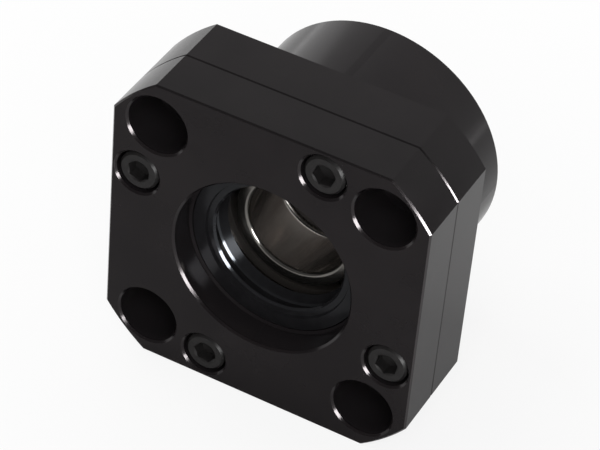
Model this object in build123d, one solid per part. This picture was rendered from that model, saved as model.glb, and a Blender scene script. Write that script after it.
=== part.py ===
from build123d import *
import os
from math import asin, cos, floor, pi, radians, sin, sqrt, tan

# Fixed-side support unit for the end of a ball screw: a square flanged housing that holds a
# face-to-face pair of angular contact ball bearings, closed in front by a bolted cover plate.
#
# Millimetres. The shaft axis is +Y and the origin is on it, in the plane of the flange's mounting
# face. The cover is on the -Y side, the locating spigot is on the +Y side, and +Z is up.

# ---------------------------------------------------------------- driving dimensions
# The unit is sized from the bearings outwards: walls and lands are set here, and the spigot, the
# circle of the mounting holes and the flange's square follow from them.

# bearings, 25 x 52 x 15 angular contact, 30 degrees
BEARING_BORE = 25.0
BEARING_OD = 52.0
BEARING_W = 15.0
BALL_D = 7.938
CONTACT_ANGLE = 30.0
GROOVE_OVERSIZE = 0.16    # groove radius over ball radius
BALL_CLEARANCE = 0.04     # between a ball and its groove
HIGH_SHOULDER = 2.3       # loaded shoulder's height above the groove's floor
LOW_SHOULDER = 0.35       # the other one
RING_CORNER_R = 1.0       # rounded corners of a ring's bore or outside
CAGE_T = 2.2              # radial thickness
CAGE_W = 11.6
POCKET_PLAY = 0.13        # radial, round a ball in the cage
CAGE_WEB = 0.9            # least web between two pockets

# flange and cover plate
HOUSING_WALL = 5.5        # from the bearings to the locating spigot: 63 across
SPIGOT_LAND = 4.0         # from the spigot to a mounting hole: holes on an 80 circle
FLAT_MARGIN = 3.7157      # from a mounting counterbore to a flat: 79 square
CORNER_WEB = 1.5          # from a mounting counterbore to the turned corner: 98 across
FLANGE_T = 14.0           # the housing's share of the flange
COVER_T = 13.0            # the cover plate's share of it
EDGE_CHAMFER = 0.4        # outer front and rear edges of the flange
SPLIT_CHAMFER = 0.3       # small breaks where cover and housing meet

# mounting screws' holes, one in each corner
MOUNT_HOLE_D = 9.0
MOUNT_CBORE_D = 15.0      # goes right through the cover, so the heads seat on the housing
HOLE_CHAMFER = 0.5

# cover screws, M6 x 16 socket head cap screws
SCREW_COUNT = 4
SCREW_D = 6.0
SCREW_CLEARANCE = 0.3     # radial, round the shank in the cover
TIP_CHAMFER = 0.6
TIP_ROOM = 1.5            # tapped depth beyond the screw's end
TAP_WEB = 1.1             # metal left under the drill's point
DRILL_POINT = 118.0       # degrees
HEAD_D = 10.0
HEAD_H = 6.0
HEAD_CHAMFER = 0.6
HEAD_SINK = 0.6           # the heads sit this far below the cover's face
SOCKET_AF = 5.0           # hexagon socket, across flats
SOCKET_DEPTH = 3.0
SOCKET_LEAD = 0.3         # countersink at the socket's mouth
SOCKET_CONE = 0.6         # drilled cone at its floor
POCKET_CLEARANCE = 0.6    # radial, round the head
POCKET_CHAMFER = 0.5
FLAT_WEB = 1.2            # metal left between a screw pocket and the flange's flat
SCREW_TURN = 23.5         # degrees from a mounting hole to the next screw, seen from the front
HEX_TURNS = (8.0, 37.0, 52.0, 21.0)   # where each socket stopped when it was tightened

# seals and collar
COLLAR_WALL = 4.5
COLLAR_PROUD = 3.0        # the collar stands out of the housing for the screw's shoulder
COLLAR_CHAMFER = 0.5
SEAL_SECTION = 5.0        # radial, from the collar's outside to the seat
SEAL_W = 7.0
SEAL_SINK = 0.5           # rear seal below the housing's end
SEAL_STOP_T = 2.1         # shoulder between the front seal and the bearing
SEAL_STOP_H = 0.8         # its height inside the seal's seat
SEAL_CORNER = 0.3         # radial break of the seal's outer corners
SEAL_LEAD = 0.5           # and its length
SKIN_T = 0.8              # rubber outside the steel ring
FACE_T = 1.2              # rubber in front of it
CASE_T = 0.8              # sheet of the steel ring
CASE_GAP = 1.6            # from the collar to the steel ring's inner edge
CASE_SINK = 0.2           # its rim below the seal's inner face
LIP_INTERFERENCE = 0.6    # a free lip is this much smaller than the collar, on radius
LIP_CLEARANCE = 0.05      # the rear lip as it runs on the collar's surface
LIP_EDGE = 0.4            # from the seal's inner face to the lip's edge
LIP_T = 1.6               # the lip at the inner face
WEB_T = 0.6               # the flexing web that carries the lip
WEB_INSET = 0.2           # its inner side from the steel ring's inner edge
DUST_LIP_GAP = 0.1        # the dust lip stands this far outside the main lip's edge
DUST_LIP_SINK = 0.7       # its front side below the seal's face
DUST_LIP_BEVEL = 0.5      # its edge, broken at 45 degrees
DUST_LIP_BACK = 0.3       # from that edge to its rear side
SPRING_D = 1.1            # garter spring, over its coils
SPRING_RISE = 2.4         # its centre outside the lip's edge
SPRING_INSET = 1.1        # its centre from the seal's inner face

# cover and housing round them
RECESS_CLEARANCE = 0.5    # radial, the nut recess over the seal's seat
RECESS_CHAMFER = 0.5
SPIGOT_L = 3.6            # the cover's spigot, which clamps the outer rings
SPIGOT_CLEARANCE = 0.02   # radial
PILOT_CHAMFER = 0.5
RELIEF_W = 2.0            # grinding relief at the locating spigot's root, along the spigot
RELIEF_DEPTH = 0.4
FACE_RELIEF = 0.3         # the same relief's depth in the mounting face
SHOULDER_T = 2.9          # web behind the rear bearing
SHOULDER_H = 6.0          # its height above the seat of the outer rings
LEAD_IN = 0.5             # chamfer where a ring or seal is pressed in

OVERRUN = 1.0             # cutters run this far past the metal
TOUCH = 1e-6              # two radii closer than this are the same

# ---------------------------------------------------------------- worked-out stations and radii
bearing_r = BEARING_OD / 2
bore_r = BEARING_BORE / 2
pitch_r = (bore_r + bearing_r) / 2
ball_r = BALL_D / 2
groove_r = ball_r + GROOVE_OVERSIZE
groove_shift = GROOVE_OVERSIZE - BALL_CLEARANCE
inner_floor_r = pitch_r - ball_r
outer_floor_r = pitch_r + ball_r
ball_count = floor(pi / asin((ball_r + POCKET_PLAY + CAGE_WEB / 2) / pitch_r))

collar_r = bore_r + COLLAR_WALL
seal_r = collar_r + SEAL_SECTION
recess_r = seal_r + RECESS_CLEARANCE
case_leg_r = seal_r - SKIN_T
case_toe_r = collar_r + CASE_GAP
web_r = case_toe_r - WEB_INSET
free_lip_r = collar_r - LIP_INTERFERENCE
running_lip_r = collar_r + LIP_CLEARANCE

pilot_r = bearing_r + HOUSING_WALL
mount_hole_r = MOUNT_HOLE_D / 2
mount_cbore_r = MOUNT_CBORE_D / 2
mount_circle_r = pilot_r + SPIGOT_LAND + mount_hole_r
flange_square = 2 * (mount_circle_r / sqrt(2) + mount_cbore_r + FLAT_MARGIN)
turned_r = mount_circle_r + mount_cbore_r + CORNER_WEB

y_split = -FLANGE_T
y_front = y_split - COVER_T
y_stack_front = y_split + SPIGOT_L
y_stack_middle = y_stack_front + BEARING_W
y_stack_rear = y_stack_middle + BEARING_W
y_rear_seal = y_stack_rear + SHOULDER_T
y_rear = y_rear_seal + SEAL_W + SEAL_SINK
y_seal_stop = y_stack_front - SEAL_STOP_T
y_front_seal = y_seal_stop - SEAL_W

screw_r = SCREW_D / 2
head_r = HEAD_D / 2
pocket_r = head_r + POCKET_CLEARANCE
screw_angle = 45.0 + SCREW_TURN
screw_circle_r = (flange_square / 2 - FLAT_WEB - pocket_r) / sin(radians(screw_angle))
y_head = y_front + HEAD_SINK
y_under_head = y_head + HEAD_H
y_drill_point = -TAP_WEB
y_tapped = y_drill_point - screw_r / tan(radians(DRILL_POINT / 2))
y_screw_tip = y_tapped - TIP_ROOM


# ---------------------------------------------------------------- helpers
def turned(*points):
    """A closed (radius, y) outline turned about the shaft axis."""
    return revolve(make_face(Polyline(*points, close=True)), Axis.Y)


def turned_ring(points, corners_at):
    """Like turned, with the outline's corners at one radius rounded."""
    outline = make_face(Polyline(*points, close=True))
    corners = [v for v in outline.vertices() if abs(v.X - corners_at) < TOUCH]
    return revolve(fillet(corners, RING_CORNER_R), Axis.Y)


def tool(at, *points):
    """A small turned body whose own axis runs along Y through at = (x, z)."""
    return Pos(at[0], 0, at[1]) * turned(*points)


def around(radius, count, first_angle):
    """Places (x, z) evenly spaced on a circle about the shaft axis."""
    angles = [radians(first_angle + 360 / count * i) for i in range(count)]
    return [(radius * cos(a), radius * sin(a)) for a in angles]


def plate(y_low, y_high, front_chamfer, rear_chamfer):
    """A square slab with turned corners, chamfered round its front and rear outlines."""
    outline = Plane.XZ * (Rectangle(flange_square, flange_square) & Circle(turned_r))
    slab = Pos(0, y_high, 0) * extrude(outline, y_high - y_low)
    slab = chamfer(slab.faces().sort_by(Axis.Y)[0].edges(), front_chamfer)
    return chamfer(slab.faces().sort_by(Axis.Y)[-1].edges(), rear_chamfer)


def drill(at, radius, y_mouth, y_end, mouth_chamfer=0.0):
    """The cutter of a round hole from its mouth on the -Y side to y_end."""
    return tool(at, (0, y_mouth - OVERRUN), (radius + mouth_chamfer + OVERRUN, y_mouth - OVERRUN),
                (radius, y_mouth + mouth_chamfer), (radius, y_end), (0, y_end))


mount_places = around(mount_circle_r, 4, 45.0)
screw_places = around(screw_circle_r, SCREW_COUNT, screw_angle)


# ---------------------------------------------------------------- housing
def housing():
    """Flange and locating spigot in one piece, bored for the bearings from the front."""
    body = plate(y_split, 0, SPLIT_CHAMFER, EDGE_CHAMFER)
    relief_r = pilot_r - RELIEF_DEPTH
    body -= turned((0, -FACE_RELIEF), (pilot_r, -FACE_RELIEF), (pilot_r + FACE_RELIEF + OVERRUN, OVERRUN),
                   (0, OVERRUN))
    body += turned((0, -EDGE_CHAMFER), (relief_r, -EDGE_CHAMFER), (relief_r, RELIEF_W - RELIEF_DEPTH),
                   (pilot_r, RELIEF_W), (pilot_r, y_rear - PILOT_CHAMFER),
                   (pilot_r - PILOT_CHAMFER, y_rear), (0, y_rear))
    shoulder_r = bearing_r - SHOULDER_H
    body -= turned((0, y_split), (bearing_r + LEAD_IN, y_split), (bearing_r, y_split + LEAD_IN),
                   (bearing_r, y_stack_rear), (shoulder_r, y_stack_rear), (shoulder_r, y_rear_seal),
                   (seal_r, y_rear_seal), (seal_r, y_rear - LEAD_IN), (seal_r + LEAD_IN, y_rear),
                   (0, y_rear))
    for at in mount_places:
        body -= tool(at, (0, y_split - OVERRUN), (mount_hole_r, y_split - OVERRUN),
                     (mount_hole_r, -HOLE_CHAMFER), (mount_hole_r + HOLE_CHAMFER + OVERRUN, OVERRUN),
                     (0, OVERRUN))
    for at in screw_places:
        body -= tool(at, (0, y_split - OVERRUN), (screw_r, y_split - OVERRUN), (screw_r, y_tapped),
                     (0, y_drill_point))
    return body


# ---------------------------------------------------------------- cover
def cover_plate():
    """Front plate with the nut recess, the front seal's seat and the clamping spigot."""
    body = plate(y_front, y_split, EDGE_CHAMFER, SPLIT_CHAMFER)
    spigot_r = bearing_r - SPIGOT_CLEARANCE
    body += turned((0, y_split - SPLIT_CHAMFER), (spigot_r, y_split - SPLIT_CHAMFER),
                   (spigot_r, y_stack_front - SPLIT_CHAMFER), (spigot_r - SPLIT_CHAMFER, y_stack_front),
                   (0, y_stack_front))
    body -= turned((0, y_front - OVERRUN), (recess_r + RECESS_CHAMFER + OVERRUN, y_front - OVERRUN),
                   (recess_r, y_front + RECESS_CHAMFER), (recess_r, y_front_seal - LEAD_IN),
                   (seal_r, y_front_seal), (seal_r, y_seal_stop), (seal_r - SEAL_STOP_H, y_seal_stop),
                   (seal_r - SEAL_STOP_H, y_stack_front + OVERRUN), (0, y_stack_front + OVERRUN))
    for at in mount_places:
        body -= drill(at, mount_cbore_r, y_front, y_split + OVERRUN, HOLE_CHAMFER)
    for at in screw_places:
        body -= drill(at, pocket_r, y_front, y_under_head, POCKET_CHAMFER)
        body -= drill(at, screw_r + SCREW_CLEARANCE, y_front, y_split + OVERRUN)
    return body


def cap_screw(at, hex_turn):
    """One socket head cap screw; its thread is left plain at the major diameter."""
    screw = tool(at, (0, y_head), (head_r - HEAD_CHAMFER, y_head), (head_r, y_head + HEAD_CHAMFER),
                 (head_r, y_under_head), (screw_r, y_under_head), (screw_r, y_screw_tip - TIP_CHAMFER),
                 (screw_r - TIP_CHAMFER, y_screw_tip), (0, y_screw_tip))
    hexagon = Plane.XZ * (Rot(0, 0, hex_turn) * RegularPolygon(SOCKET_AF / 2, 6, major_radius=False))
    y_floor = y_head + SOCKET_DEPTH
    socket = Pos(at[0], y_floor, at[1]) * extrude(hexagon, SOCKET_DEPTH + OVERRUN)
    floor_cone = tool(at, (0, y_floor), (SOCKET_AF / 2, y_floor), (0, y_floor + SOCKET_CONE))
    mouth = tool(at, (0, y_head), (SOCKET_AF / 2 + 1.5 * SOCKET_LEAD, y_head),
                 (SOCKET_AF / 2, y_head + SOCKET_LEAD), (0, y_head + SOCKET_LEAD))
    return screw - socket - floor_cone - mouth


def cover_screws():
    """All of them; they are alike but for where their sockets stopped."""
    turns = [HEX_TURNS[i % len(HEX_TURNS)] for i in range(SCREW_COUNT)]
    return Compound([cap_screw(at, turn).solid() for at, turn in zip(screw_places, turns)])


# ---------------------------------------------------------------- bearings
# A bearing is drawn round its own middle plane with its loaded outer shoulder towards -Y.
# The rear one of the pair is the same bearing turned round.
def place(shape, rear):
    """Put a bearing piece in its seat: front as drawn, rear turned about Z."""
    if rear:
        return Pos(0, y_stack_rear - BEARING_W / 2, 0) * Rot(0, 0, 180) * shape
    return Pos(0, y_stack_front + BEARING_W / 2, 0) * shape


def groove(sign):
    """The torus that cuts a ball groove: sign +1 for the outer ring, -1 for the inner."""
    radial = pitch_r - sign * groove_shift * cos(radians(CONTACT_ANGLE))
    axial = sign * groove_shift * sin(radians(CONTACT_ANGLE))
    return revolve(Pos(radial, axial) * Circle(groove_r), Axis.Y)


def outer_ring():
    half = BEARING_W / 2
    high_r = outer_floor_r - HIGH_SHOULDER
    low_r = outer_floor_r - LOW_SHOULDER
    outline = [(high_r, -half), (bearing_r, -half), (bearing_r, half), (low_r, half), (low_r, 0), (high_r, 0)]
    return turned_ring(outline, bearing_r) - groove(1)


def inner_ring():
    half = BEARING_W / 2
    high_r = inner_floor_r + HIGH_SHOULDER
    low_r = inner_floor_r + LOW_SHOULDER
    outline = [(bore_r, -half), (low_r, -half), (low_r, 0), (high_r, 0), (high_r, half), (bore_r, half)]
    return turned_ring(outline, bore_r) - groove(-1)


def ball_places():
    return around(pitch_r, ball_count, 90.0)


def balls():
    return Compound([(Pos(x, 0, z) * Sphere(ball_r)).solid() for x, z in ball_places()])


def cage():
    """Window cage: a plain ring with one round pocket for each ball."""
    inside_r = pitch_r - CAGE_T / 2
    outside_r = pitch_r + CAGE_T / 2
    ring = turned((inside_r, -CAGE_W / 2), (outside_r, -CAGE_W / 2), (outside_r, CAGE_W / 2),
                  (inside_r, CAGE_W / 2))
    window = Cylinder(ball_r + POCKET_PLAY, 2 * CAGE_T)
    for x, z in ball_places():
        facing = Plane(origin=(x, 0, z), z_dir=(x, 0, z))
        ring -= facing.location * window
    return ring


# ---------------------------------------------------------------- seals
# A seal is drawn from its outer face, y = 0, to its inner face at y = SEAL_W.
def garter_spring(lip_r):
    """The coiled spring round the lip, as the plain ring that its turns fill."""
    return revolve(Pos(lip_r + SPRING_RISE, SEAL_W - SPRING_INSET) * Circle(SPRING_D / 2), Axis.Y)


def seal_case():
    """L-shaped steel ring inside the rubber's skin."""
    rim = SEAL_W - CASE_SINK
    return turned((case_toe_r, FACE_T), (case_leg_r, FACE_T), (case_leg_r, rim), (case_leg_r - CASE_T, rim),
                  (case_leg_r - CASE_T, FACE_T + CASE_T), (case_toe_r, FACE_T + CASE_T))


def seal_rubber(lip_r):
    """Skin, face, dust lip and spring-loaded main lip of a rubber-covered shaft seal."""
    y_edge = SEAL_W - LIP_EDGE
    y_spring = SEAL_W - SPRING_INSET
    y_web = FACE_T + CASE_T
    y_dust = DUST_LIP_SINK + DUST_LIP_BEVEL
    bed_r = lip_r + SPRING_RISE - SPRING_D / 2
    dust_r = lip_r + DUST_LIP_GAP
    skin = [(case_toe_r, y_web), (case_toe_r, FACE_T), (case_leg_r, FACE_T), (case_leg_r, SEAL_W),
            (seal_r - SEAL_CORNER, SEAL_W), (seal_r, SEAL_W - SEAL_LEAD), (seal_r, SEAL_LEAD),
            (seal_r - SEAL_CORNER, 0), (case_toe_r, 0), (case_toe_r - SEAL_CORNER, DUST_LIP_SINK)]
    dust_lip = [(dust_r + DUST_LIP_BEVEL, DUST_LIP_SINK), (dust_r, y_dust), (dust_r, y_dust + DUST_LIP_BACK),
                (web_r - WEB_T / 2, y_web), (web_r, y_web + WEB_T)]
    main_lip = [(web_r, y_edge - (web_r - lip_r)), (lip_r, y_edge), (lip_r + LIP_EDGE, SEAL_W),
                (lip_r + LIP_T, SEAL_W), (bed_r, y_spring)]
    web = [(web_r + WEB_T, y_spring - SPRING_D), (web_r + WEB_T, y_web)]
    return turned(*skin, *dust_lip, *main_lip, *web) - garter_spring(lip_r)


def seat_seal(shape, rear):
    """Front seal faces the nut recess; the rear one faces out of the housing's end."""
    if rear:
        return Pos(0, y_rear - SEAL_SINK, 0) * Rot(0, 0, 180) * shape
    return Pos(0, y_front_seal, 0) * shape


def rear_collar():
    """Spacer between the rear inner ring and the shoulder of the screw."""
    y_end = y_rear + COLLAR_PROUD
    c = COLLAR_CHAMFER
    return turned((bore_r, y_stack_rear + c), (bore_r + c, y_stack_rear), (collar_r - c, y_stack_rear),
                  (collar_r, y_stack_rear + c), (collar_r, y_end - c), (collar_r - c, y_end),
                  (bore_r + c, y_end), (bore_r, y_end - c))


# ---------------------------------------------------------------- nodes
nodes = {
    "housing": housing(),
    "cover_plate": cover_plate(),
    "cover_screws": cover_screws(),
    "rear_collar": rear_collar(),
}
for end, rear, lip_r in (("front", False, free_lip_r), ("rear", True, running_lip_r)):
    nodes[f"{end}_seal"] = seat_seal(seal_rubber(lip_r), rear)
    nodes[f"{end}_seal_case"] = seat_seal(seal_case(), rear)
    nodes[f"{end}_seal_spring"] = seat_seal(garter_spring(lip_r), rear)
    nodes[f"{end}_outer_ring"] = place(outer_ring(), rear)
    nodes[f"{end}_inner_ring"] = place(inner_ring(), rear)
    nodes[f"{end}_cage"] = place(cage(), rear)
    nodes[f"{end}_balls"] = place(balls(), rear)

os.makedirs("parts", exist_ok=True)
for name, shape in nodes.items():
    shape.label = name
    export_step(shape, f"parts/{name}.step")
print(f"{len(nodes)} nodes, {ball_count} balls a bearing, flange to spigot end {y_rear - y_front:.1f} mm")
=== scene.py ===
# %% [markdown]
# # Ball screw end support
# A black steel block that carries the end of a ball screw: a square flange with a cover plate
# screwed to its front, a round spigot behind, and two ball bearings between two rubber seals.
# The solids come from the CAD frame and keep their shape. This lesson gives them their finishes,
# winds the coiled springs of the seals, and sets up a small studio round the object.

# %% Load the frame
import math

import bmesh
import bpy
from mathutils import Matrix, Vector


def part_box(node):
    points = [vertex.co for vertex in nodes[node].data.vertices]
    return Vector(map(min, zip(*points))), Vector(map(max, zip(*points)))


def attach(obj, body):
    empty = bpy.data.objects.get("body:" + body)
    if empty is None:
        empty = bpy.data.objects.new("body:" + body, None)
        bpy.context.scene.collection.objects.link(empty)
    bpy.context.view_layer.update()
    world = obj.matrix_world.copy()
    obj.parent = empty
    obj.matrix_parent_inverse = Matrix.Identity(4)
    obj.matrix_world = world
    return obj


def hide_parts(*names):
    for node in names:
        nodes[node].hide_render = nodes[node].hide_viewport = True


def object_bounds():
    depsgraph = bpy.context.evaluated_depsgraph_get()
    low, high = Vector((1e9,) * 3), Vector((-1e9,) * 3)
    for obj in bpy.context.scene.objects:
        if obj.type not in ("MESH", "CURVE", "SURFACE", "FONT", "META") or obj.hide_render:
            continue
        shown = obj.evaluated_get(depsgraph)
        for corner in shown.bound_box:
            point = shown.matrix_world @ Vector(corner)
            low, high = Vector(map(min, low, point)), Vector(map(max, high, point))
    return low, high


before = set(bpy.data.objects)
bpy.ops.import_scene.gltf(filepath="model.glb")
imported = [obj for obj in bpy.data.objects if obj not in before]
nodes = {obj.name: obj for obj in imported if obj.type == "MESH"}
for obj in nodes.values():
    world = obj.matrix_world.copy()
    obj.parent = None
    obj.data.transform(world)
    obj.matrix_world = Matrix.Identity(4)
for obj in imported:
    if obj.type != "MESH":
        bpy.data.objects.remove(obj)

cad_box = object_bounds()

# %% [markdown]
# Everything is placed from the frame's own measures. The shaft axis is the Y axis, the flange's
# front face is the lowest y, and the object stands on the flange's bottom flat.

# %% Measure the object
MM = 0.001
low, high = cad_box
front_y = low.y
floor_z = low.z
size = high - low
print(f"object {size.x / MM:.1f} x {size.y / MM:.1f} x {size.z / MM:.1f} mm")

# %% [markdown]
# ## Wiring a material
# A finish is a small network of nodes that ends in a shader. It could be built by hand in the
# editor, but a script that names each node's inputs stays short and can be read. This class
# starts a material, adds a node, and joins an output to a socket of the shader. Patterns read
# Object coordinates, which here are metres from the shaft axis, so they have the same scale on
# every piece.


# %% A material's network
class Network:
    """A material under construction, with its shader and its object coordinates."""

    def __init__(self, name, **sockets):
        self.material = bpy.data.materials.new(name)
        self.material.use_nodes = True
        self.tree = self.material.node_tree
        self.shader = self.tree.nodes["Principled BSDF"]
        for socket, value in sockets.items():
            self.shader.inputs[socket.replace("_", " ")].default_value = value
        self.place = self.add("ShaderNodeTexCoord").outputs["Object"]
        self.normal = self.place.node.outputs["Normal"]

    def add(self, kind, inputs=(), **settings):
        """A new node: settings are its properties, inputs are (socket, value or output)."""
        node = self.tree.nodes.new(kind)
        for key, value in settings.items():
            setattr(node, key, value)
        for socket, value in inputs:
            if isinstance(value, bpy.types.NodeSocket):
                self.tree.links.new(value, node.inputs[socket])
            else:
                node.inputs[socket].default_value = value
        return node

    def to(self, socket, output):
        self.tree.links.new(output, self.shader.inputs[socket])


print("network steps:", [step for step in vars(Network) if not step.startswith("_")])

# %% [markdown]
# ## Patterns and mixes
# Real finishes are never even: they have clouds, flecks and tool marks, and they change where a
# surface turns. Each pattern here is noise, carried from one range to another, and each change
# is a mix by a share from 0 to 1. An image could paint the same, but noise has no seams and no
# resolution, and it goes on through every hole.


# %% Noise, ranges and mixes
class Finish(Network):
    """A network with the steps that a finish needs again and again."""

    def math(self, operation, a, b=0.0):
        return self.add("ShaderNodeMath", [(0, a), (1, b)], operation=operation).outputs[0]

    def stretch(self, value, from_low, from_high, to_low, to_high):
        """The value carried from one range to another, and held within it."""
        return self.add("ShaderNodeMapRange", [
            ("Value", value), ("From Min", from_low), ("From Max", from_high),
            ("To Min", to_low), ("To Max", to_high)]).outputs["Result"]

    def noise(self, scale, detail=3.0, rough=0.5, where=None):
        return self.add("ShaderNodeTexNoise", [
            ("Vector", where or self.place), ("Scale", scale), ("Detail", detail),
            ("Roughness", rough)]).outputs["Fac"]

    def scaled(self, x, y, z):
        """Object coordinates stretched differently along each axis."""
        return self.add("ShaderNodeMapping", [
            ("Vector", self.place), ("Scale", (x, y, z))]).outputs[0]

    def mix_colour(self, share, a, b):
        node = self.add("ShaderNodeMix", data_type="RGBA")
        for index, value in ((0, share), (6, a), (7, b)):
            if isinstance(value, bpy.types.NodeSocket):
                self.tree.links.new(value, node.inputs[index])
            else:
                node.inputs[index].default_value = value if index == 0 else (*value, 1.0)
        return node.outputs[2]

    def mix_number(self, share, a, b):
        inputs = [(0, share), (2, a), (3, b)]
        return self.add("ShaderNodeMix", inputs, data_type="FLOAT").outputs[0]

    def parts(self, vector):
        return self.add("ShaderNodeSeparateXYZ", [(0, vector)]).outputs

    def bump(self, height, depth):
        """Tilts the surface by a height from 0 to 1 that stands for depth in metres."""
        self.to("Normal", self.add("ShaderNodeBump", [
            ("Height", height), ("Distance", depth)]).outputs[0])


def dress(name, finish):
    """Give a CAD node a finish by its material slots."""
    for slot in nodes[name].material_slots:
        slot.material = finish.material


print("finish steps:", [step for step in vars(Finish) if not step.startswith("_")])

# %% [markdown]
# ## Black oxide on ground steel
# The housing and the cover are ground all over and then blackened in a hot salt bath. The oxide
# is only a micron thick, so the tool marks stay: rings on whatever was turned, straight strokes
# on the four flats. Oiled oxide is almost black seen straight on and a soft mirror seen at a
# glancing angle. A metal shader would be too bright straight on, so this one is a dark dielectric
# with a low IOR, which is raised where the oxide is rubbed: on edge breaks, and most of all on
# the outline's. Masks find these places by the direction of the surface, and by how far a point
# is from the shaft axis.

# %% Masks by direction
FLAT_FROM = 0.9995                  # a face this close to X or Z is a milled flat
EDGE_FROM, EDGE_TO = 0.6, 0.8       # the share of Y in the direction of a 45 degree edge break
ACROSS_FROM = 0.9                   # and of a face across the shaft axis


def surface_masks(finish):
    """Shares from 0 to 1: on a milled flat, on a 45 degree edge break, across the axis."""
    nx, ny, nz = (finish.math("ABSOLUTE", n) for n in finish.parts(finish.normal))
    flat = finish.math("GREATER_THAN", finish.math("MAXIMUM", nx, nz), FLAT_FROM)
    edge = finish.math("MULTIPLY", finish.math("GREATER_THAN", ny, EDGE_FROM),
                       finish.math("LESS_THAN", ny, EDGE_TO))
    return flat, edge, finish.math("GREATER_THAN", ny, ACROSS_FROM)


print("flats from", FLAT_FROM, "edge breaks", EDGE_FROM, "to", EDGE_TO)

# %% Masks by place
FACE_SKIN = 0.7 * MM                # openings start this far behind the front face
SEAT_SIDE = -0.6 * MM               # and end here, just before the mounting face
FLAT_REACH, CORNER_REACH = 38.6 * MM, 48.2 * MM     # the outline begins past these
HOLE_REACH = 27.0 * MM              # counterbores and pockets lie further out than the recess


def length_and_radius(finish):
    """Where a point is along the shaft axis, and how far from it."""
    x, y, z = finish.parts(finish.place)
    squares = finish.math("ADD", finish.math("MULTIPLY", x, x), finish.math("MULTIPLY", z, z))
    return y, finish.math("POWER", squares, 0.5)


def openings(finish):
    """Shares from 0 to 1: in the nut recess, in a counterbore or screw pocket, on the outline."""
    x, y, z = finish.parts(finish.place)
    reach = finish.math("MAXIMUM", finish.math("ABSOLUTE", x), finish.math("ABSOLUTE", z))
    y, radius = length_and_radius(finish)
    behind_face = finish.math("MULTIPLY", finish.math("GREATER_THAN", y, front_y + FACE_SKIN),
                              finish.math("LESS_THAN", y, SEAT_SIDE))
    outline = finish.math("MAXIMUM", finish.math("GREATER_THAN", reach, FLAT_REACH),
                          finish.math("GREATER_THAN", radius, CORNER_REACH))
    inside = finish.math("MULTIPLY", behind_face, finish.math("SUBTRACT", 1.0, outline))
    hole = finish.math("MULTIPLY", inside, finish.math("GREATER_THAN", radius, HOLE_REACH))
    return finish.math("SUBTRACT", inside, hole), hole, outline


print("openings from", round((front_y + FACE_SKIN) / MM, 1), "to", SEAT_SIDE / MM, "mm")

# %% Tool marks
SLANT = 1.37                        # a share of the other measure, so rings go round corners too
STROKE_STRETCH = 0.035              # strokes on a flat are drawn out this much along it


def turning_marks(finish, measure, other, scale):
    """Noise in rings about the shaft axis."""
    line = finish.math("ADD", measure, finish.math("MULTIPLY", other, SLANT))
    return finish.add("ShaderNodeTexNoise", [("W", line), ("Scale", scale), ("Detail", 3.0)],
                      noise_dimensions="1D").outputs["Fac"]


def lay_height(finish, flat, pitch):
    """Rings on turned faces, and straight strokes on the flats."""
    y, radius = length_and_radius(finish)
    rings = turning_marks(finish, radius, y, 1 / pitch)
    drawn_out = finish.scaled(STROKE_STRETCH, 1.0, STROKE_STRETCH)
    return finish.mix_number(flat, rings, finish.noise(1 / pitch, 2.0, where=drawn_out))


print("strokes", round(1 / STROKE_STRETCH), "times as long as wide")

# %% Blackened steel: colour
BLACK = (0.0060, 0.0046, 0.0052)
DUSTY = (0.0096, 0.0076, 0.0082)
# painted light: a lighter black for the recess and the holes, which lifts their shade
HOLE_PAINTED_LIGHT = (0.0150, 0.0130, 0.0140)
WARM = (1.0, 0.93, 0.95, 1.0)

black = Finish("blackened_steel", Specular_Tint=WARM)
flat, edge, across = surface_masks(black)
recess, hole, outline = openings(black)
inside = black.math("ADD", recess, hole)
inner_corner = black.math("MULTIPLY", edge, inside)
cloud = black.noise(55, 4.0, 0.55)
skin = black.mix_colour(black.stretch(cloud, 0.35, 0.65, 0.0, 1.0), BLACK, DUSTY)
# painted light: the recess and the holes get the lighter black, which lifts their shade
black.to("Base Color", black.mix_colour(inside, skin, HOLE_PAINTED_LIGHT))
print("colour from", BLACK, "to", DUSTY)

# %% Blackened steel: roughness
POLISHED, SMEARED, FLECKED = 0.14, 0.20, 0.05
HOLE_ROUGH, CORNER_ROUGH = 0.30, 0.60

smear = black.stretch(cloud, 0.3, 0.7, POLISHED, SMEARED)
fleck = black.stretch(black.noise(900, 2.0, 0.6), 0.55, 0.8, 0.0, FLECKED)
bored = black.math("MULTIPLY", hole, HOLE_ROUGH)
dull = black.math("MAXIMUM", bored, black.math("MULTIPLY", inner_corner, CORNER_ROUGH))
black.to("Roughness", black.math("MAXIMUM", black.math("ADD", smear, fleck), dull))
print("roughness", POLISHED, "to", SMEARED + FLECKED, "and", HOLE_ROUGH, "in holes")

# %% Blackened steel: how much it mirrors
PLAIN_IOR, TURNED_IOR, RECESS_IOR, CORNER_IOR = 1.25, 1.28, 1.42, 1.10
EDGE_IOR, OUTLINE_IOR = 1.40, 1.60
MARK_PITCH, MARK_DEPTH = 0.22 * MM, 0.0006 * MM

turned = black.math("SUBTRACT", 1.0, black.math("MAXIMUM", flat, across))
shine = black.stretch(turned, 0.0, 1.0, PLAIN_IOR, TURNED_IOR)
shine = black.mix_number(recess, shine, RECESS_IOR)
shine = black.mix_number(hole, shine, PLAIN_IOR)
shine = black.mix_number(edge, shine, black.stretch(outline, 0.0, 1.0, EDGE_IOR, OUTLINE_IOR))
black.to("IOR", black.mix_number(inner_corner, shine, CORNER_IOR))
black.bump(lay_height(black, flat, MARK_PITCH), MARK_DEPTH)
for name in ("housing", "cover_plate"):
    dress(name, black)
    print("blackened steel on", name)

# %% [markdown]
# ## Cap screws
# The four cover screws are blackened too. They could share the cover's finish, but they are
# rolled and heat treated rather than ground, so they are a little greyer and duller than the
# cover around them, with no tool marks: noise in the colour and the roughness is enough.

# %% Screw steel
SCREW_DARK, SCREW_GREY = (0.0150, 0.0140, 0.0140), (0.0230, 0.0215, 0.0215)

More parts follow.
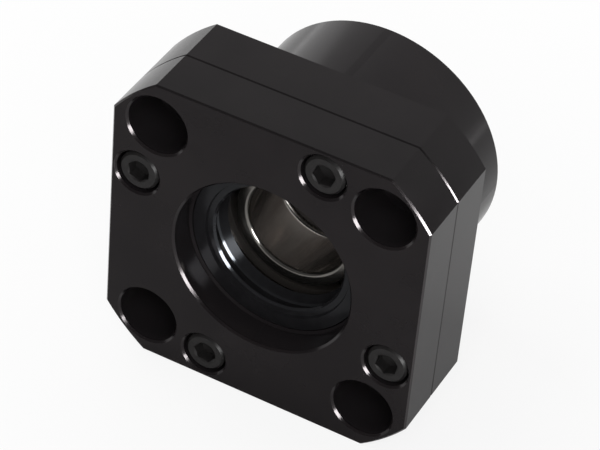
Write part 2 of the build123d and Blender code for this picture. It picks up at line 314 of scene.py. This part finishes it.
screw = Finish("screw_steel", IOR=1.24)
cloud = screw.noise(420, 3.0, 0.6)
grey = screw.stretch(cloud, 0.35, 0.7, 0.0, 1.0)
screw.to("Base Color", screw.mix_colour(grey, SCREW_DARK, SCREW_GREY))
screw.to("Roughness", screw.stretch(cloud, 0.3, 0.7, 0.34, 0.44))
screw.bump(screw.noise(2500, 2.0), 0.004 * MM)
dress("cover_screws", screw)
print("screws", SCREW_DARK, "to", SCREW_GREY)

# %% [markdown]
# ## Bearing steel
# Rings and balls are hardened chromium steel, ground and honed bright. Honing leaves fine rings
# round the bore, which draw a highlight out along the axis. Bump alone would need rings finer
# than the picture can hold, so an anisotropic metal with a radial tangent does that. Faces and
# corners that face along the axis get one dim colour, painted shade on the clean rings. The rear
# inner ring and the collar's bore get a very dark colour, painted shade deep in the bore.

# %% Honed steel
# painted shade: one dim colour for faces and corners that face along the axis
AXIAL_PAINTED_SHADE = (0.19, 0.18, 0.168)
BORE_EDGE_R = 13.1 * MM             # just outside the edge break of the collar's bore
HONE_SCALE, HONE_DEPTH = 5200.0, 0.0012 * MM


def bright_steel(name, honed, rough, stretch_along=0.0, fine=None):
    """Honed steel between two colours and two roughnesses; fine is for what is past the bore."""
    finish = Finish(name, Metallic=0.96, Anisotropic=stretch_along, Anisotropic_Rotation=0.25)
    round_axis = finish.add("ShaderNodeTangent", direction_type="RADIAL", axis="Y")
    finish.to("Tangent", round_axis.outputs[0])
    y, radius = length_and_radius(finish)
    film = finish.noise(180, 3.0, 0.6)
    axial = finish.math("ABSOLUTE", finish.parts(finish.normal)[1])
    tint = finish.mix_colour(finish.stretch(film, 0.35, 0.7, 0.0, 1.0), *honed)
    # painted shade: faces and corners that face along the axis get the one dim colour
    tint = finish.mix_colour(finish.stretch(axial, 0.05, 0.30, 0.0, 1.0), tint, AXIAL_PAINTED_SHADE)
    if fine:
        tint = finish.mix_colour(finish.math("GREATER_THAN", radius, BORE_EDGE_R), tint, fine)
    finish.to("Base Color", tint)
    finish.to("Roughness", finish.stretch(film, 0.3, 0.7, *rough))
    finish.bump(turning_marks(finish, y, radius, HONE_SCALE), HONE_DEPTH)
    return finish


# the dim colour on faces and corners is painted shade
print("oil film on faces that aren't honed:", AXIAL_PAINTED_SHADE)

# %% Rings, balls and collar
CLEAN = (0.50, 0.46, 0.425), (0.44, 0.405, 0.37)
# painted shade: a very dark colour for the rear inner ring and the collar's bore, deep in the
# bore
BORE_PAINTED_SHADE = (0.060, 0.053, 0.050), (0.040, 0.035, 0.033)
GROUND = (0.50, 0.49, 0.48)
HONED_ROUGH, BORE_SHADE_ROUGH = (0.15, 0.18), (0.20, 0.34)

bearing = bright_steel("bearing_steel", CLEAN, HONED_ROUGH, stretch_along=0.8)
# painted shade: the rear inner ring and the collar's bore get the very dark colour
shaded_bearing = bright_steel("bore_shaded_bearing_steel", BORE_PAINTED_SHADE, BORE_SHADE_ROUGH)
collar = bright_steel("collar_steel", BORE_PAINTED_SHADE, BORE_SHADE_ROUGH, fine=GROUND)
for name in ("front_outer_ring", "front_inner_ring", "front_balls",
             "rear_outer_ring", "rear_balls"):
    dress(name, bearing)
    print("bearing steel on", name)
dress("rear_inner_ring", shaded_bearing)
dress("rear_collar", collar)
print("collar's bore edge at", round(BORE_EDGE_R / MM, 1), "mm")

# %% [markdown]
# ## Seal rubber
# The seals are moulded nitrile rubber, greased before fitting. Bare rubber is a dull near-black,
# but grease stays where a finger leaves it: along the edge of the dust lip and in the root of the
# main lip. Drops could be modelled, but so thin a film only changes the shine, so both places
# are found by their 45 degree slope and where they are, and get a wet IOR.

# %% Where the rubber is wet
LIP_ROOT_R = 17.95 * MM
DUST_LIP_DEPTH = 2.0 * MM
COOL = (0.86, 0.92, 1.0, 1.0)
seals_low, seals_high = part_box("front_seal")[0].y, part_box("rear_seal")[1].y
seals_middle, seals_half = (seals_low + seals_high) / 2, (seals_high - seals_low) / 2

rubber = Finish("seal_rubber", Specular_Tint=COOL)
_, slope, across = surface_masks(rubber)
y, radius = length_and_radius(rubber)
from_middle = rubber.math("ABSOLUTE", rubber.math("SUBTRACT", y, seals_middle))
near_face = rubber.math("GREATER_THAN", from_middle, seals_half - DUST_LIP_DEPTH)
in_root = rubber.math("GREATER_THAN", radius, LIP_ROOT_R)
wet = rubber.math("MULTIPLY", slope, rubber.math("MAXIMUM", near_face, in_root))
print("seal faces at", round(seals_low / MM, 2), "and", round(seals_high / MM, 2), "mm")

# %% Seal rubber
DRY_IOR, FACE_IOR, WET_IOR = 1.13, 1.24, 1.45
DRY_ROUGH, WET_ROUGH, PATCHY = 0.19, 0.10, 0.03
RUBBER_DARK, RUBBER_GREY = (0.0120, 0.0117, 0.0128), (0.0160, 0.0156, 0.0170)

cloud = rubber.noise(300, 3.0, 0.6)
grey = rubber.stretch(cloud, 0.35, 0.7, 0.0, 1.0)
rubber.to("Base Color", rubber.mix_colour(grey, RUBBER_DARK, RUBBER_GREY))
dry = rubber.stretch(across, 0.0, 1.0, DRY_IOR, FACE_IOR)
rubber.to("IOR", rubber.mix_number(wet, dry, WET_IOR))
patchy = rubber.stretch(cloud, 0.3, 0.7, -PATCHY, PATCHY)
level = rubber.stretch(wet, 0.0, 1.0, DRY_ROUGH, WET_ROUGH)
rubber.to("Roughness", rubber.math("ADD", patchy, level))
rubber.bump(rubber.noise(1200, 2.0), 0.003 * MM)
for name in ("front_seal", "rear_seal"):
    dress(name, rubber)
    print("rubber on", name)

# %% [markdown]
# ## What is inside
# The steel ring in each seal is pressed from bright sheet, the cages are moulded from black
# polyamide with glass in it, and the springs are drawn wire. They only show when the unit is
# taken apart, so plain noise for colour and roughness is enough, finer on the smaller piece.

# %% Sheet steel, wire and cage plastic
case = Finish("case_steel", Metallic=1.0)
case.to("Base Color", case.mix_colour(case.noise(240), (0.33, 0.33, 0.33), (0.42, 0.41, 0.40)))
case.to("Roughness", case.stretch(case.noise(90), 0.3, 0.7, 0.28, 0.42))
case.bump(case.noise(1500), 0.004 * MM)

wire = Finish("spring_steel", Metallic=1.0)
wire.to("Base Color", wire.mix_colour(wire.noise(700), (0.36, 0.36, 0.36), (0.48, 0.47, 0.46)))
wire.to("Roughness", wire.stretch(wire.noise(500), 0.3, 0.7, 0.20, 0.30))
wire.bump(wire.noise(3000), 0.003 * MM)

cage = Finish("cage_plastic", IOR=1.53)
cage.to("Base Color", cage.mix_colour(cage.noise(120), (0.030, 0.027, 0.025),
                                      (0.045, 0.040, 0.036)))
cage.to("Roughness", cage.stretch(cage.noise(260), 0.3, 0.7, 0.36, 0.50))
cage.bump(cage.noise(2200), 0.008 * MM)

for end in ("front", "rear"):
    for piece, finish in (("seal_case", case), ("seal_spring", wire), ("cage", cage)):
        dress(f"{end}_{piece}", finish)
        print(finish.material.name, "on", f"{end}_{piece}")

# %% [markdown]
# ## Garter springs
# A seal's lip is pressed on the shaft by a coil of thin wire, hooked into a ring. The CAD fills
# it with a plain ring. A curve with a bevel could draw the coil, but a spun section is as short:
# a small circle is spun through a few turns while it moves along, the length is doubled until
# there are enough turns, and the straight coil is bent round until its two ends meet.

# %% A straight coil, bent round
WIRE_R = 0.14 * MM
TURNS, SPUN_TURNS, STEPS_A_TURN, WIRE_SIDES = 384, 3, 8, 5
MERGE = 0.001 * MM


def straight_coil(coil_r, pitch):
    """Wire wound about the Z axis; the doubling needs TURNS to be SPUN_TURNS times 2, 4, 8..."""
    wound = bmesh.new()
    stand = Matrix.Translation((coil_r - WIRE_R, 0, 0)) @ Matrix.Rotation(math.pi / 2, 4, "X")
    bmesh.ops.create_circle(wound, segments=WIRE_SIDES, radius=WIRE_R, matrix=stand)
    bmesh.ops.spin(wound, geom=wound.verts[:] + wound.edges[:], cent=(0, 0, 0), axis=(0, 0, 1),
                   dvec=(0, 0, pitch / STEPS_A_TURN), angle=math.tau * SPUN_TURNS,
                   steps=SPUN_TURNS * STEPS_A_TURN)
    made = SPUN_TURNS
    while made < TURNS:
        whole = wound.verts[:] + wound.edges[:] + wound.faces[:]
        copy = bmesh.ops.duplicate(wound, geom=whole)["geom"]
        copied = [part for part in copy if isinstance(part, bmesh.types.BMVert)]
        bmesh.ops.translate(wound, verts=copied, vec=(0, 0, made * pitch))
        made *= 2
    return wound


def bend_round(wound, ring_r, middle_y):
    """The coil's length laid on a circle about the shaft axis, and its ends and turns joined."""
    for vertex in wound.verts:
        along, out = vertex.co.z / ring_r, ring_r + vertex.co.x
        vertex.co = (out * math.cos(along), middle_y + vertex.co.y, out * math.sin(along))
    bmesh.ops.remove_doubles(wound, verts=wound.verts[:], dist=MERGE)
    bmesh.ops.recalc_face_normals(wound, faces=wound.faces[:])
    for face in wound.faces:
        face.smooth = True


print("wire", 2 * WIRE_R / MM, "mm,", STEPS_A_TURN * WIRE_SIDES, "faces a turn")

# %% Garter springs
COIL_INSET = 0.01 * MM              # inside the CAD's plain ring by this much


def place_mesh(name, shape, material):
    """Turn a bmesh into an object at the origin."""
    mesh = bpy.data.meshes.new(name)
    shape.to_mesh(mesh)
    shape.free()
    mesh.materials.append(material)
    thing = bpy.data.objects.new(name, mesh)
    bpy.context.scene.collection.objects.link(thing)
    return thing


for end in ("front", "rear"):
    near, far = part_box(f"{end}_seal_spring")
    coil_r = (far.y - near.y) / 2
    ring_r = (far.x - near.x) / 2 - coil_r
    wound = straight_coil(coil_r - COIL_INSET, math.tau * ring_r / TURNS)
    bend_round(wound, ring_r, (far.y + near.y) / 2)
    spring = place_mesh(f"{end}_garter_coil", wound, wire.material)
    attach(spring, "frame")
    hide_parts(f"{end}_seal_spring")
    print(spring.name, TURNS, "turns,", len(spring.data.polygons), "faces")

# %% [markdown]
# ## Floor and background
# A white sheet, large enough that its edge never shows. Enough light to wash the far floor out
# to white would bleach the object too, so a share of plain white emission does it, for the
# camera and for reflections. The rest of the sheet is lit as any paper, so that the object keeps
# its shadow. Near the object the white share is smaller, so there is painted shade beside the
# real shadow. Polished parts mirror a painted white, none near the object and less on the sheet's
# left half, which is painted shade.

# %% Floor paper: how white it is seen
PAPER = (0.88, 0.88, 0.88, 1.0)
NEAR, FAR = 0.04, 0.16
WHITE_NEAR, WHITE_FAR = 0.86, 0.97
MIRROR_NEAR, MIRROR_FAR = 0.0, 0.75

paper = Finish("floor_paper", Roughness=0.9)
paper.shader.inputs["Base Color"].default_value = PAPER
x, y, z = paper.parts(paper.place)
squares = paper.math("ADD", paper.math("MULTIPLY", x, x), paper.math("MULTIPLY", y, y))
away = paper.math("POWER", squares, 0.5)
ray = paper.add("ShaderNodeLightPath").outputs
# painted shade beside the real shadow: less white near the object
white = paper.stretch(away, NEAR, FAR, WHITE_NEAR, WHITE_FAR)
seen = paper.math("MULTIPLY", ray["Is Camera Ray"], white)
print("white from", WHITE_NEAR, "near to", WHITE_FAR, "far")

# %% Floor paper: painted white in reflections
LEFT_Y, LEFT_DIM = (0.05, 0.30), (0.15, 0.80)
LEFT_X = (-0.06, 0.06)

# painted shade in reflections: less white mirrored on the sheet's left half
painted_left_shade = paper.math("MAXIMUM", paper.stretch(y, *LEFT_Y, *LEFT_DIM),
                      paper.stretch(x, *LEFT_X, 0.0, 1.0))
# painted reflection: mirrored white grows from none near the object
painted_mirror_share = paper.math("MULTIPLY", painted_left_shade,
                          paper.stretch(away, NEAR, FAR, MIRROR_NEAR, MIRROR_FAR))
mirrored = paper.math("MAXIMUM", ray["Is Glossy Ray"], ray["Is Transmission Ray"])
share = paper.math("ADD", seen, paper.math("MULTIPLY", mirrored, painted_mirror_share))
glow = paper.add("ShaderNodeEmission", [("Color", (1.0, 1.0, 1.0, 1.0)), ("Strength", 1.0)])
blend = paper.add("ShaderNodeMixShader", [(0, share), (1, paper.shader.outputs[0]),
                                          (2, glow.outputs[0])])
output = next(n for n in paper.tree.nodes if n.type == "OUTPUT_MATERIAL")
paper.tree.links.new(blend.outputs[0], output.inputs["Surface"])
print("mirrored up to", MIRROR_FAR)

# %% Floor
FLOOR_HALF = 2.5
sheet = bmesh.new()
bmesh.ops.create_grid(sheet, x_segments=1, y_segments=1, size=FLOOR_HALF,
                      matrix=Matrix.Translation((0, 0, floor_z)))
floor = place_mesh("floor", sheet, paper.material)
print("floor at", round(floor_z / MM, 1), "mm")

# %% [markdown]
# ## Light
# Black oxide shows its surroundings more than itself, so most lamps are there to be mirrored: a
# white wall behind the object, a dim wing on each side of it, and a soft key lamp high on the
# left. A small bright strip low on the right picks out the edge breaks and adds no glow, and a
# fill in front lights what lies in the holes and adds no glints. The world is dim, so that black
# stays black, and the gap between the wall and the right wing gives the corner its dark edge.

# %% World
ROOM = 0.16
world = bpy.data.worlds.new("tent")
world.use_nodes = True
background = world.node_tree.nodes["Background"].inputs
background["Color"].default_value = (1.0, 1.0, 1.0, 1.0)
background["Strength"].default_value = ROOM
bpy.context.scene.world = world
print("room at", ROOM)


# %% Lamps
def lamp(name, at, aim, width, height, radiance, glints=True, glow=True):
    """A rectangular soft light at a point, turned to an aim, with its brightness per area."""
    light = bpy.data.lights.new(name, "AREA")
    light.shape = "RECTANGLE"
    light.size, light.size_y = width, height
    light.energy = radiance * math.pi * width * height
    thing = bpy.data.objects.new(name, light)
    thing.location = at
    thing.rotation_mode = "QUATERNION"
    thing.rotation_quaternion = (Vector(aim) - Vector(at)).to_track_quat("-Z", "Y")
    thing.visible_camera = False
    thing.visible_glossy = glints
    thing.visible_diffuse = glow
    bpy.context.scene.collection.objects.link(thing)
    print(f"{name}: {light.energy:.2f} W")


lamp("back_wall", (-0.105, 0.50, 0.485), (-0.105, 0.0, 0.485), 1.29, 1.04, 0.80)
lamp("left_wing", (-0.60, 0.49, 0.17), (-0.60, 0.0, 0.17), 0.40, 0.40, 0.50)
lamp("low_wing", (0.60, 0.50, 0.02), (0.60, 0.0, 0.02), 0.24, 0.10, 1.6)
lamp("left_key", (-0.60, 0.0, 0.70), (0.0, 0.0, 0.0), 0.50, 0.50, 5.0)
lamp("edge_strip", (0.41, -0.354, 0.06), (0.0, -0.02, 0.0), 0.165, 0.21, 38.0, glow=False)
lamp("front_fill", (0.27, -0.58, 0.55), (0.0, 0.0, 0.0), 0.45, 0.45, 5.0, glints=False)

# %% [markdown]
# ## Flag
# Seen from behind, the top flat would mirror the bright strip and turn white. Light linking
# works on whole objects, so it would take the strip off the edge breaks too. Studios keep such
# a glare off with a flag, a card on a stand. This one stands on the flange's front edge, above
# all that the strip is meant for. The camera doesn't see it, and it glows as dimly as the room,
# so that it isn't seen in the steel either.

# %% Flag
FLAG_LEFT, FLAG_RIGHT, FLAG_HEIGHT = -0.05, 0.11, 0.023
FLAG_GAP = 0.2 * MM
flag_width = FLAG_RIGHT - FLAG_LEFT
at = Vector(((FLAG_LEFT + FLAG_RIGHT) / 2, front_y - FLAG_GAP, high.z + FLAG_HEIGHT / 2))

card = bmesh.new()
bmesh.ops.create_grid(card, x_segments=1, y_segments=1, size=0.5)
bmesh.ops.scale(card, verts=card.verts[:], vec=(flag_width, FLAG_HEIGHT, 1.0))
bmesh.ops.transform(card, verts=card.verts[:],
                    matrix=Matrix.Translation(at) @ Matrix.Rotation(math.pi / 2, 4, "X"))
felt = Finish("flag_felt", Roughness=1.0, IOR=1.0, Emission_Strength=ROOM)
felt.shader.inputs["Base Color"].default_value = (0.0, 0.0, 0.0, 1.0)
felt.shader.inputs["Emission Color"].default_value = (1.0, 1.0, 1.0, 1.0)
flag = place_mesh("flag", card, felt.material)
flag.visible_camera = False
print("flag", round(flag_width / MM), "x", round(FLAG_HEIGHT / MM), "mm")

# %% [markdown]
# ## Camera
# A long lens from the front, right of the object and well above it. A camera that tracks a
# target would stay level, and this one is rolled a little, so its own axes are given: to its
# right, and back from what it sees.

# %% Camera
camera_data = bpy.data.cameras.new("camera")
camera_data.lens = 171.555
camera_data.sensor_width = 36.0
camera_data.clip_start, camera_data.clip_end = 0.05, 10.0
camera = bpy.data.objects.new("camera", camera_data)
bpy.context.scene.collection.objects.link(camera)
bpy.context.scene.camera = camera
right = Vector((0.87442, 0.47986, 0.07165)).normalized()
back = Vector((0.32275, -0.68557, 0.65256)).normalized()
up = back.cross(right).normalized()
turn = Matrix((right, up, back)).transposed().to_4x4()
camera.matrix_world = Matrix.Translation((0.20986, -0.45438, 0.42412)) @ turn
bpy.context.scene.view_settings.view_transform = "Standard"
print("camera distance", round(camera.location.length, 3), "m")
